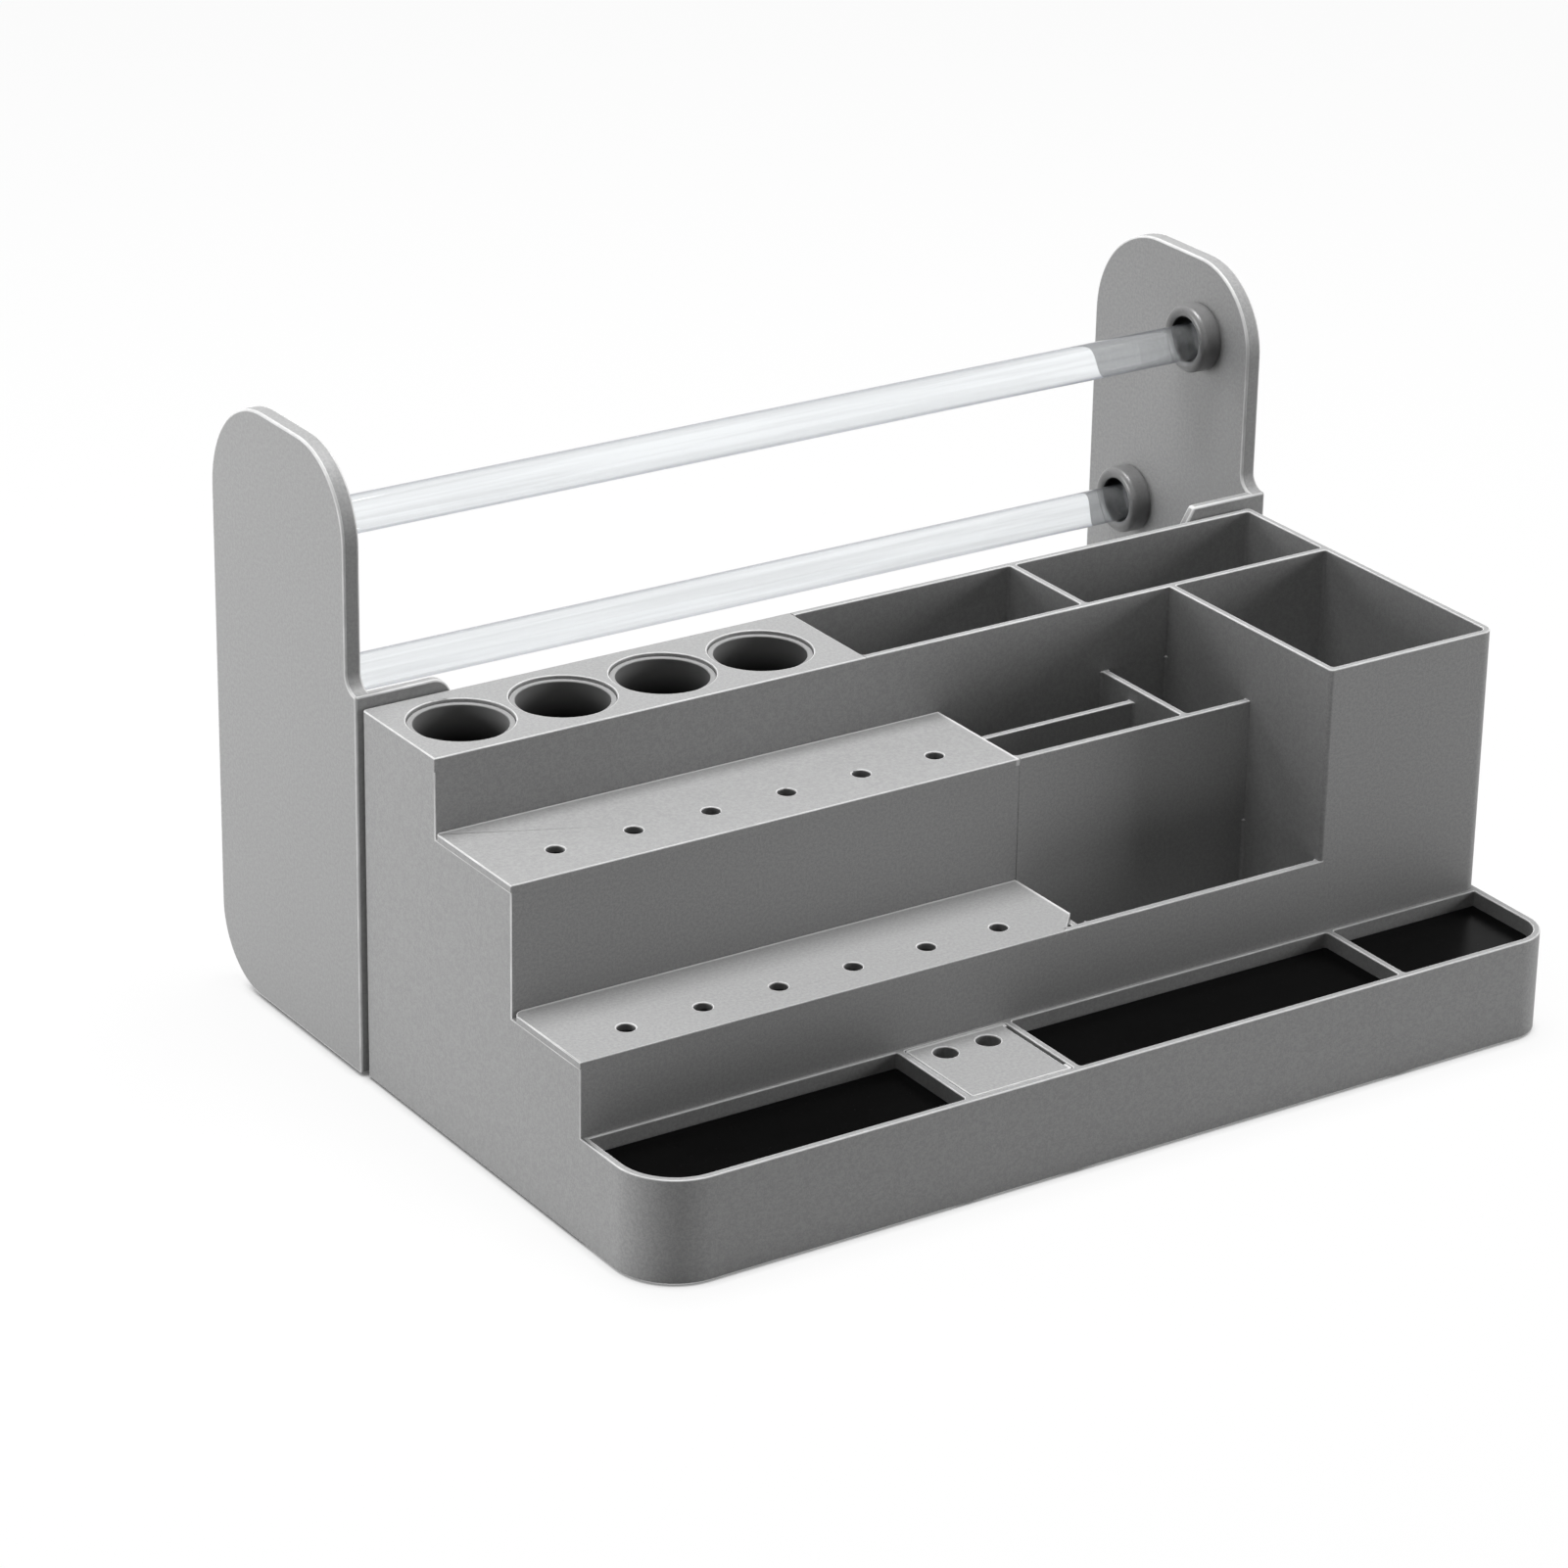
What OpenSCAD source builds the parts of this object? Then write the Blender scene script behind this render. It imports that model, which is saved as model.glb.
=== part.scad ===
// Screwdriver holder: a stepped bench organiser with a two-rod reel stand behind it.
// Millimetres, +Z up, front towards -Y. Origin at the middle of the footprint, on the bench.

/* [Body] */
// width of the organiser
body_w = 302; // [288:1:380]
// depth of the back row, front to back
row_d = 39; // [38:0.5:60]
// depth of the upper step
upper_d = 39.5; // [36:0.5:60]
// depth of the lower step
lower_d = 35; // [32:0.5:60]
// depth of the front tray
tray_d = 35.5; // [32:0.5:60]
// height of the back row and the bin
top_h = 111; // [104:1:150]
// height of the upper step
upper_h = 89.5; // [80:0.5:100]
// height of the lower step
lower_h = 53; // [45:0.5:75]
// height of the tray rim
tray_h = 31; // [28:0.5:42]
// thickness of the moulded walls
wall_t = 2; // [1.6:0.1:2.6]
// thickness of the moulded floors
floor_t = 2; // [1.6:0.1:3]
// how far the feet hold the walls off the bench
foot_gap = 1; // [0.6:0.1:3]
// outer radius of the front left corner of the tray
tray_left_r = 18; // [10:1:30]
// outer radius of the front right corner of the tray
tray_right_r = 12; // [8:1:30]
// width of the ledge at the foot of the steps, level with the tray rim
tray_ledge = 1.2; // [0.6:0.1:2.5]
// outer radius of the front right edge of the bin
bin_corner_r = 4; // [3:0.5:8]
// radius of the other upright edges
edge_r = 1.2; // [0.5:0.1:2]
// radius of the upright corners inside the compartments
pocket_r = 1; // [0.6:0.1:1.6]

/* [Compartments] */
// width of the deck that carries the driver cups
deck_w = 138; // [134:0.5:150]
// thickness of that deck
deck_t = 4; // [3.5:0.1:6]
// play at the right end of the deck
deck_clear = 0.05; // [0.03:0.01:0.1]
// left face of the divider in the back row, from the left side
divider_x = 213; // [180:1:240]
// outer width of the deep bin at the right
bin_w = 59; // [40:1:80]
// distance of the short upper divider from the bin
short_wall_in = 22; // [12:1:30]
// middle of the long upper divider, from the back of the upper step
long_wall_y = 14.5; // [10:0.5:20]
// how far the long divider stays below the upper step
long_wall_drop = 4; // [1:0.5:12]

/* [Driver cups] */
// first cup, from the left side
cup_x = 19.5; // [18:0.5:22]
// spacing of the four cups
cup_pitch = 32; // [31:0.5:34]
// inner diameter of a cup
cup_bore_d = 26.2; // [20:0.1:26.4]
// wall of a cup
cup_wall = 0.9; // [0.8:0.1:1]
// how much wider the rim is than the cup, all round
cup_rim_over = 0.8; // [0.6:0.1:1]
// thickness of the rim
cup_rim_t = 1.5; // [1.2:0.1:2]
// how far the rim lies below the deck
cup_rim_drop = 1; // [0.6:0.1:1.4]
// height of a cup
cup_h = 72; // [50:1:85]
// bevel round the foot of a cup
cup_bevel = 1.2; // [0.5:0.1:1.6]
// play of a cup in the deck, all round
cup_clear = 0.1; // [0.05:0.05:0.2]

/* [Rack plates] */
// width of both rack plates
rack_w = 163; // [158:1:170]
// thickness of the rack plates
plate_t = 2; // [1.6:0.1:3]
// diameter of the small driver holes
rack_hole_d = 5.2; // [4:0.1:8]
// first hole of the upper plate, from the left side
upper_hole_x = 22; // [15:0.5:25]
// spacing of the holes in the upper plate
upper_hole_pitch = 24.4; // [20:0.1:25]
// holes of the upper plate, from the back of the step
upper_hole_in = 25.5; // [12:0.5:27]
// first hole of the lower plate, from the left side
lower_hole_x = 21; // [15:0.5:25]
// spacing of the holes in the lower plate
lower_hole_pitch = 23.9; // [20:0.1:24.5]
// holes of the lower plate, from the back of the step
lower_hole_in = 23.5; // [12:0.5:24]
// radius of the back left corner of the upper plate
upper_plate_r = 1.5; // [1:0.5:5]
// radius of the back left corner of the lower plate
lower_plate_r = 3.5; // [1:0.5:5]
// cut corner of the lower plate, along the width
cut_x = 8; // [4:0.5:14]
// cut corner of the lower plate, along the depth
cut_y = 9; // [4:0.5:14]
// play of the plates at the risers and at their right ends
plate_clear = 0.15; // [0.1:0.05:0.3]

/* [Tray] */
// right end of the left compartment, from the left side
tray_left_w = 99; // [90:1:104]
// clear width of the pocket for the bit plate
bit_pocket_w = 33.3; // [31:0.1:38]
// cross wall, from the right side
cross_in = 56; // [40:1:80]
// glossy pads below the rim
pad_drop = 4.5; // [3:0.5:8]
// thickness of the pads
pad_t = 2; // [1.5:0.1:3]
// play of the pads, all round
pad_clear = 0.2; // [0.1:0.05:0.4]

/* [Bit plate] */
// thickness of the bit plate
bit_t = 5; // [4:0.5:7]
// diameter of the two bit holes
bit_hole_d = 7; // [6.4:0.1:8]
// spacing of the two bit holes
bit_hole_pitch = 14; // [12:0.5:16]
// bit holes, from the back of the tray
bit_hole_in = 8; // [7:0.5:14]
// width of the thumb slot at the right of the plate
slot_w = 1; // [0.8:0.1:1.6]
// how far the slot stops short of the front rim
slot_end = 3; // [2:0.5:6]
// how far the slot stops short of the back edge
slot_back = 1.5; // [1:0.5:4]
// play of the plate in its pocket
bit_clear = 0.3; // [0.2:0.05:0.4]
// how far the plate rests above its ledges
bit_rest = 0.1; // [0.05:0.05:0.2]
// depth below the rim of the pocket under the plate
bit_depth = 18.5; // [14:0.5:20]

/* [Reel stand] */
// outside width of the stand
stand_w = 310; // [300:1:390]
// how far the stand reaches past the left side of the organiser
stand_left_out = 1.5; // [0:0.5:4]
// gap between the organiser and the stand
unit_gap = 1; // [0.6:0.1:2]
// depth of the stand
stand_d = 81; // [79:1:100]
// height of the stand
stand_h = 180; // [176:1:210]
// thickness of the end frames
frame_t = 5; // [5:0.5:7]
// radius of the top front corner
frame_front_r = 25; // [16:1:28]
// radius of the top back corner
frame_back_r = 30; // [16:1:32]
// radius of the bottom back corner
frame_foot_r = 22; // [10:1:22]
// height of the shoulder above the organiser
shoulder_up = 3.5; // [2:0.5:8]
// depth of the shoulder
shoulder_d = 5.5; // [5:0.5:8]
// radius in the corner of the shoulder
shoulder_r = 5; // [3:0.5:5]
// width of the front flange at its top
flange_w = 30; // [26:1:40]
// how much wider the flange is at the bottom
flange_flare = 8; // [2:1:14]
// size of the round or cut corner at the top of the flanges
flange_cut = 6; // [2:0.5:8]
// thickness of the flange
flange_t = 3; // [2.5:0.1:4]

/* [Rods] */
// diameter of the two rods
rod_d = 11; // [9:0.5:12]
// upper rod, from the back of the organiser
upper_rod_in = 29.5; // [25:0.5:32]
// height of the upper sockets
upper_rod_z = 156; // [150:1:158]
// lower rod, from the back of the organiser
lower_rod_in = 60; // [50:0.5:62]
// height of the lower sockets
lower_rod_z = 95; // [80:1:104]
// play of a rod in its socket, all round
rod_clear = 1.1; // [0.8:0.1:1.4]
// air under a rod at the bottom of its socket
rod_lift = 0.15; // [0.1:0.05:0.3]
// how far a rod reaches into each socket
rod_engage = 4.5; // [3.5:0.1:5]
// bevel at the ends of a rod
rod_bevel = 0.6; // [0.3:0.1:1]
// how far a collar stands off the end frame
collar_out = 6.5; // [5:0.5:9]
// wall of a collar
collar_wall = 3.65; // [3:0.05:5]
// wall of the spigot that holds a collar
spigot_wall = 1.5; // [1.2:0.1:2]
// depth of the recess for the spigot
spigot_h = 3; // [2:0.1:3.4]
// play of the spigot in its recess
spigot_clear = 0.05; // [0.03:0.01:0.1]

/* [Reel tray] */
// depth of the tray that ties the end frames
reel_tray_d = 52; // [44:1:52]
// height of that tray
reel_tray_h = 40; // [30:1:60]
// thickness of its walls
reel_tray_t = 2.5; // [2:0.1:4]
// radius of the upright corners inside the tray
reel_tray_r = 4; // [1:0.5:8]
// play between the tray and the end frames
tray_clear = 0.2; // [0.1:0.05:0.3]

/* [Hardware] */
// diameter of the rubber feet
foot_d = 13; // [10:0.5:16]
// bevel round the tread of a foot
foot_bevel = 0.5; // [0.2:0.1:0.8]
// back feet of the organiser, from its back and its sides
foot_inset = 16; // [10:1:40]
// foot posts under the tray, from the sides
post_inset = 28; // [22:1:60]
// feet of the stand, from the ends of the reel tray
stand_foot_x = 16; // [10:1:40]
// feet of the stand, from the front and back of the reel tray
stand_foot_y = 13; // [9:1:20]
// depth of the recess for a foot
foot_in = 0.6; // [0.4:0.1:0.9]
// diameter of the foot posts under the front tray
post_d = 17; // [15:0.5:20]
// diameter of the screws
screw_d = 3; // [2.5:0.1:4]
// depth of the screws in the end frames
screw_in = 3.4; // [2.5:0.1:3.6]
// diameter of the screw heads
head_d = 5.8; // [5:0.1:8]
// height of the screw heads
head_h = 2; // [1.5:0.1:3]
// play of the screws
screw_clear = 0.1; // [0.05:0.05:0.2]
// width of the neck of the coupling keys
key_neck = 4; // [3:0.5:6]
// width of the head of the coupling keys
key_head = 10; // [8:0.5:12]
// thickness of the key heads
key_t = 2; // [1.6:0.1:3]
// height of the keys
key_h = 20; // [12:1:26]
// height of the bottom of the keys
key_z = 40; // [20:1:60]
// play of the keys in the slots of the flanges
key_clear = 0.4; // [0.2:0.05:0.6]

/* [Hidden] */

eps = 0.01;
over = 1;
body_d = row_d + upper_d + lower_d + tray_d;
total_d = body_d + unit_gap + stand_d;
y_front = -total_d / 2;
y_back = y_front + body_d;
y_row = y_back - row_d;
y_upper = y_row - upper_d;
y_lower = y_upper - lower_d;
x_left = -stand_w / 2 + stand_left_out;
x_right = x_left + body_w;
bin_x = x_right - bin_w;
short_x = bin_x - short_wall_in;
base_z = foot_gap;
inner_z = foot_gap + floor_t;
pad_z = tray_h - pad_drop - pad_t;
pocket_z = tray_h - bit_depth;
bit_x = x_left + tray_left_w + wall_t;
mid_x = bit_x + bit_pocket_w + wall_t;
cross_x = x_right - cross_in;
ledge_w = 1.5;
cup_d = cup_bore_d + 2 * cup_wall;
cup_rim_d = cup_d + 2 * cup_rim_over;
cup_y = y_back - row_d / 2;
cup_top = top_h - cup_rim_drop;
sx = stand_w / 2;
sy = y_back + unit_gap;
sy_end = sy + stand_d;
shoulder_z = top_h + shoulder_up;
socket_d = rod_d + 2 * rod_clear;
collar_d = socket_d + 2 * collar_wall;
spigot_d = socket_d + 2 * spigot_wall;
rod_drop = rod_clear - rod_lift;
face_x = sx - frame_t - collar_out;
rod_len = 2 * (face_x + rod_engage);
rt_y = sy + flange_t + key_t + 1.2;
rt_x = sx - frame_t - tray_clear;
screw_z = base_z + 0.65 * reel_tray_h;
screw_y = [rt_y + 0.22 * reel_tray_d, rt_y + 0.78 * reel_tray_d];
screw_len = sx - frame_t + screw_in - rt_x + reel_tray_t;
key_x = [x_left + 0.5 * flange_w, x_right - 0.5 * flange_w];
foot_xy = [for (x = [x_left + foot_inset, x_left + body_w / 2, x_right - foot_inset])
  [x, y_back - foot_inset]];
post_xy = [for (x = [x_left + post_inset, x_left + body_w / 2, x_right - post_inset])
  [x, y_front + tray_d / 2]];
stand_foot_xy = [for (x = [stand_foot_x - rt_x, rt_x - stand_foot_x])
  for (y = [stand_foot_y, reel_tray_d - stand_foot_y]) [x, rt_y + y]];
seam_w = 0.3;
seam_in = 0.25;

body_col = [0.60, 0.60, 0.61];
plate_col = [0.63, 0.63, 0.64];
cup_col = [0.55, 0.55, 0.56];
pad_col = [0.05, 0.05, 0.06];
rubber_col = [0.08, 0.08, 0.08];
collar_col = [0.45, 0.45, 0.46];
rod_col = [0.80, 0.88, 0.92];
steel_col = [0.70, 0.70, 0.72];

// block between two corners
module span(a, b) {
  translate(a)
    cube([b[0] - a[0], b[1] - a[1], b[2] - a[2]]);
}

// cylinder standing on a point
module post(x, y, z, d, h) {
  translate([x, y, z])
    cylinder(d = d, h = h, $fn = 64);
}

// cylinder along X from a point
module bar_x(x, y, z, d, h) {
  translate([x, y, z])
    rotate([0, 90, 0])
      cylinder(d = d, h = h, $fn = 64);
}

// what a round corner takes off a square one; sx and sy point out of the corner
module corner_cut(x, y, sx, sy, r) {
  if (r > 0)
    difference() {
      translate([x + sx * (over - r) / 2, y + sy * (over - r) / 2])
        square(r + over, center = true);
      translate([x - sx * r, y - sy * r])
        circle(r = r, $fn = r > 8 ? 96 : (r > 3 ? 48 : 24));
    }
}

// rectangle with its own radius at each corner: high left, high right, low right, low left
module outline(a, b, r) {
  difference() {
    translate(a)
      square([b[0] - a[0], b[1] - a[1]]);
    corner_cut(a[0], b[1], -1, 1, r[0]);
    corner_cut(b[0], b[1], 1, 1, r[1]);
    corner_cut(b[0], a[1], 1, -1, r[2]);
    corner_cut(a[0], a[1], -1, -1, r[3]);
  }
}

// plan drawing raised between two heights
module raise(z_a, z_b) {
  translate([0, 0, z_a])
    linear_extrude(height = z_b - z_a)
      children();
}

// side drawing, Y across and Z up, drawn out along X
module draw_out(x_a, x_b) {
  translate([x_a, 0, 0])
    rotate([90, 0, 90])
      linear_extrude(height = x_b - x_a)
        children();
}

// the three steps seen from the side
module step_profile() {
  polygon([[y_back, base_z], [y_back, top_h], [y_row, top_h], [y_row, upper_h],
    [y_upper, upper_h], [y_upper, lower_h], [y_lower, lower_h], [y_lower, base_z]]);
}

// the part behind the tray seen from above
module body_plan() {
  outline([x_left, y_lower], [x_right, y_back], [edge_r, edge_r, bin_corner_r, 0]);
}

// the tray seen from above, pulled in from its sides and its front; it backs up the bin's corner
module tray_plan(inset) {
  outline([x_left + inset, y_front + inset], [x_right - inset, y_lower + bin_corner_r],
    [0, 0, tray_right_r - inset, tray_left_r - inset]);
}

// the deep bin seen from above
module bin_plan() {
  outline([bin_x, y_lower], [x_right, y_row + eps], [0, 0, bin_corner_r, edge_r]);
}

// one compartment of the tray, with play all round for what lies in it
module bay_plan(x_a, x_b, play) {
  r = pocket_r;
  intersection() {
    tray_plan(wall_t + play);
    outline([x_a + play, y_front + wall_t + play], [x_b - play, y_lower - tray_ledge - play],
      [r, r, r, r]);
  }
}

// outside of the moulding: stepped profile, tray and bin
module housing_outer() {
  intersection() {
    draw_out(x_left, x_right)
      step_profile();
    raise(base_z, top_h)
      body_plan();
  }
  raise(base_z, tray_h)
    tray_plan(0);
  raise(base_z, top_h)
    bin_plan();
}

// compartment that opens upwards, with soft upright corners
module pocket(a, b, z_top) {
  r = pocket_r;
  raise(inner_z, z_top + over)
    outline(a, b, [r, r, r, r]);
}

// the back row: hollow under the cups and two compartments
module row_pockets() {
  ya = y_row + wall_t;
  yb = y_back - wall_t;
  pocket([x_left + wall_t, ya], [x_left + deck_w - wall_t, yb], top_h);
  pocket([x_left + deck_w, ya], [x_left + divider_x, yb], top_h);
  pocket([x_left + divider_x + wall_t, ya], [x_right - wall_t, yb], top_h);
}

// the upper step: hollow under its plate, two long compartments and a short one
module upper_pockets() {
  w = wall_t;
  xa = x_left + rack_w;
  xb = short_x - w / 2;
  ym = y_row - long_wall_y;
  pocket([x_left + w, y_upper + w], [xa - w, y_row], top_h);
  pocket([xa, ym + w / 2], [xb, y_row], top_h);
  pocket([xa, y_upper + w], [xb, ym - w / 2], top_h);
  span([xa, ym - w / 2 - pocket_r, upper_h - long_wall_drop],
    [xb, ym + w / 2 + pocket_r, top_h]);
  pocket([short_x + w / 2, y_upper + w], [bin_x, y_row], top_h);
}

// the lower step: hollow under its plate and the wide compartment
module lower_pockets() {
  pocket([x_left + wall_t, y_lower + wall_t], [x_left + rack_w - wall_t, y_upper], lower_h);
  pocket([x_left + rack_w, y_lower + wall_t], [bin_x, y_upper], lower_h);
}

// inside of the bin, round in the same corner as its outside
module bin_pocket() {
  r = pocket_r;
  raise(inner_z, top_h + over)
    outline([bin_x + wall_t, y_lower + wall_t], [x_right - wall_t, y_row],
      [r, r, bin_corner_r - wall_t, r]);
}

// compartments of the tray and the stepped pocket for the bit plate
module tray_pockets() {
  top = tray_h + over;
  raise(pad_z, top)
    bay_plan(x_left, x_left + tray_left_w, 0);
  raise(pad_z, top)
    bay_plan(mid_x, cross_x, 0);
  raise(pad_z, top)
    bay_plan(cross_x + wall_t, x_right, 0);
  raise(tray_h - bit_t - bit_rest, top)
    bay_plan(bit_x, bit_x + bit_pocket_w, 0);
  raise(pocket_z, top)
    bay_plan(bit_x + ledge_w, bit_x + bit_pocket_w - ledge_w, 0);
}

// hollows that open downwards
module housing_hollows() {
  raise(-over, pad_z - floor_t)
    bay_plan(x_left, x_left + tray_left_w, 0);
  raise(-over, pocket_z - floor_t)
    bay_plan(bit_x, bit_x + bit_pocket_w, 0);
  raise(-over, pad_z - floor_t)
    bay_plan(mid_x, cross_x, 0);
  raise(-over, pad_z - floor_t)
    bay_plan(cross_x + wall_t, x_right, 0);
}

// stepped holes for the cups
module deck_holes() {
  for (i = [0 : 3]) {
    x = x_left + cup_x + i * cup_pitch;
    post(x, cup_y, top_h - deck_t - over, cup_d + 2 * cup_clear, deck_t + 2 * over);
    post(x, cup_y, cup_top - cup_rim_t, cup_rim_d + 2 * cup_clear, cup_rim_t + cup_rim_drop + over);
  }
}

// seats of the deck and the two rack plates
module plate_seats() {
  span([x_left - over, y_row - over, top_h - deck_t], [x_left + deck_w, y_back + over, top_h + over]);
  span([x_left - over, y_upper - over, upper_h - plate_t], [x_left + rack_w, y_row, upper_h + over]);
  span([x_left - over, y_lower - over, lower_h - plate_t],
    [x_left + rack_w - cut_x, y_upper, lower_h + over]);
  span([x_left - over, y_lower + wall_t, lower_h - plate_t],
    [x_left + rack_w, y_upper, lower_h + over]);
}

// keys with a T section on the back of the moulding that slide into the flanges of the stand
module coupling_keys() {
  y_head = sy + flange_t + key_clear;
  raise(key_z, key_z + key_h)
    for (x = key_x) {
      translate([x - key_neck / 2, y_back - eps])
        square([key_neck, y_head - y_back + 2 * eps]);
      translate([x - key_head / 2, y_head])
        square([key_head, key_t]);
    }
}

// witness line where the raised riser joins the one under the rack
module riser_seam() {
  raise(lower_h - over, upper_h + over)
    translate([x_left + rack_w - seam_w / 2, y_upper - over])
      square([seam_w, over + seam_in]);
}

module housing() {
  color(body_col)
    difference() {
      union() {
        difference() {
          housing_outer();
          row_pockets();
          upper_pockets();
          lower_pockets();
          bin_pocket();
          tray_pockets();
          housing_hollows();
          plate_seats();
        }
        for (p = post_xy)
          post(p[0], p[1], base_z, post_d, pad_z - floor_t - base_z + eps);
        coupling_keys();
      }
      for (p = concat(foot_xy, post_xy))
        post(p[0], p[1], base_z - over, foot_d + 0.4, foot_in + over);
      riser_seam();
    }
}

// deck of the back row, with a ledge in each hole for the rim of a cup
module cup_deck() {
  color(plate_col)
    difference() {
      raise(top_h - deck_t, top_h)
        outline([x_left, y_row], [x_left + deck_w - deck_clear, y_back], [edge_r, 0, 0, 0]);
      deck_holes();
    }
}

module upper_rack_plate() {
  color(plate_col)
    raise(upper_h - plate_t, upper_h)
      difference() {
        outline([x_left, y_upper], [x_left + rack_w - plate_clear, y_row - plate_clear],
          [upper_plate_r, 0, 0, 0]);
        for (i = [0 : 5])
          translate([x_left + upper_hole_x + i * upper_hole_pitch, y_row - upper_hole_in])
            circle(d = rack_hole_d, $fn = 48);
      }
}

module lower_rack_plate() {
  xb = x_left + rack_w - plate_clear;
  color(plate_col)
    raise(lower_h - plate_t, lower_h)
      difference() {
        outline([x_left, y_lower], [xb, y_upper - plate_clear], [lower_plate_r, 0, 0, 0]);
        polygon([[xb - cut_x, y_lower - over], [xb + over, y_lower - over],
          [xb + over, y_lower + cut_y], [xb, y_lower + cut_y], [xb - cut_x, y_lower]]);
        for (i = [0 : 5])
          translate([x_left + lower_hole_x + i * lower_hole_pitch, y_upper - lower_hole_in])
            circle(d = rack_hole_d, $fn = 48);
      }
}

module bit_plate() {
  xa = bit_x + bit_clear;
  xb = bit_x + bit_pocket_w - bit_clear;
  ya = y_front + wall_t + bit_clear;
  yb = y_lower - tray_ledge - bit_clear;
  xm = (xa + xb - slot_w) / 2;
  r = pocket_r - bit_clear;
  color(plate_col)
    raise(tray_h - bit_t, tray_h)
      difference() {
        outline([xa, ya], [xb, yb], [r, r, r, r]);
        translate([xb - slot_w, ya + slot_end])
          square([slot_w + over, yb - ya - slot_end - slot_back]);
        for (s = [-1, 1])
          translate([xm + s * bit_hole_pitch / 2, y_lower - bit_hole_in])
            circle(d = bit_hole_d, $fn = 48);
      }
}

// one closed cup, turned: bevelled foot, straight bore, rim that hangs on its ledge
module driver_cup(i) {
  r = cup_d / 2;
  rim = cup_rim_d / 2;
  bore = cup_bore_d / 2;
  color(cup_col)
    translate([x_left + cup_x + i * cup_pitch, cup_y, cup_top - cup_h])
      rotate_extrude($fn = 64)
        polygon([[0, 0], [r - cup_bevel, 0], [r, cup_bevel], [r, cup_h - cup_rim_t],
          [rim, cup_h - cup_rim_t], [rim, cup_h], [bore, cup_h], [bore, floor_t], [0, floor_t]]);
}

module driver_cup_1() {
  driver_cup(0);
}

module driver_cup_2() {
  driver_cup(1);
}

module driver_cup_3() {
  driver_cup(2);
}

module driver_cup_4() {
  driver_cup(3);
}

// pad that follows the tray walls with a small play
module tray_pad(x_a, x_b) {
  color(pad_col)
    raise(pad_z, pad_z + pad_t)
      bay_plan(x_a, x_b, pad_clear);
}

module tray_pad_left() {
  tray_pad(x_left, x_left + tray_left_w);
}

module tray_pad_middle() {
  tray_pad(mid_x, cross_x);
}

module tray_pad_right() {
  tray_pad(cross_x + wall_t, x_right);
}

// rubber foot, turned, with a bevelled tread
module foot(p) {
  r = foot_d / 2;
  h = foot_gap + foot_in;
  translate([p[0], p[1], 0])
    rotate_extrude($fn = 48)
      polygon([[0, 0], [r - foot_bevel, 0], [r, foot_bevel], [r, h], [0, h]]);
}

module housing_feet() {
  color(rubber_col)
    for (p = concat(foot_xy, post_xy))
      foot(p);
}

// end frame seen from the side: shoulder in front, round head and foot
module frame_profile() {
  y_up = sy + shoulder_d;
  s = shoulder_r;
  outline([sy, base_z], [sy_end, shoulder_z], [0, 0, frame_foot_r, 0]);
  outline([y_up, shoulder_z - over], [sy_end, stand_h], [frame_front_r, frame_back_r, 0, 0]);
  difference() {
    translate([y_up - s, shoulder_z - eps])
      square([s + eps, s + eps]);
    translate([y_up - s, shoulder_z + s])
      circle(r = s, $fn = 64);
  }
}

// front flange seen from the front, from the outside of its frame inwards
module flange_profile(side) {
  c = flange_cut;
  w = flange_w;
  kx = side < 0 ? key_x[0] + sx : sx - key_x[1];
  slot = key_neck / 2 + key_clear;
  difference() {
    polygon([[0, base_z], [w + flange_flare, base_z], [w, shoulder_z - c],
      [side < 0 ? w : w - 0.6 * c, shoulder_z], [0, shoulder_z]]);
    if (side < 0)
      corner_cut(w, shoulder_z, 1, 1, c);
    translate([kx - slot, 0])
      square([2 * slot, key_z + key_h + key_clear]);
  }
}

// recesses of the two sockets and the blind screw holes, from the inner face
module frame_cuts() {
  h = spigot_h + 0.05;
  for (s = [[upper_rod_in, upper_rod_z], [lower_rod_in, lower_rod_z]])
    bar_x(sx - frame_t - over, y_back + s[0], s[1], spigot_d + 2 * spigot_clear, h + over);
  for (y = screw_y)
    bar_x(sx - frame_t - over, y, screw_z, screw_d + screw_clear, screw_in + 0.1 + over);
}

// end frame at +X, or mirrored to -X
module end_frame(side) {
  color(body_col)
    mirror([side < 0 ? 1 : 0, 0, 0])
      difference() {
        union() {
          draw_out(sx - frame_t, sx)
            frame_profile();
          translate([sx, sy, 0])
            mirror([1, 0, 0])
              translate([0, flange_t, 0])
                rotate([90, 0, 0])
                  linear_extrude(height = flange_t)
                    flange_profile(side);
        }
        frame_cuts();
      }
}

module end_frame_left() {
  end_frame(-1);
}

module end_frame_right() {
  end_frame(1);
}

// low tray between the end frames
module reel_tray() {
  t = reel_tray_t;
  r = reel_tray_r;
  color(body_col)
    difference() {
      raise(base_z, base_z + reel_tray_h)
        outline([-rt_x, rt_y], [rt_x, rt_y + reel_tray_d], [edge_r, edge_r, edge_r, edge_r]);
      raise(base_z + t, base_z + reel_tray_h + over)
        outline([t - rt_x, rt_y + t], [rt_x - t, rt_y + reel_tray_d - t], [r, r, r, r]);
      for (y = screw_y)
        bar_x(-rt_x - over, y, screw_z, screw_d + 0.4, 2 * rt_x + 2 * over);
      for (p = stand_foot_xy)
        post(p[0], p[1], base_z - over, foot_d + 0.4, foot_in + over);
    }
}

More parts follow.
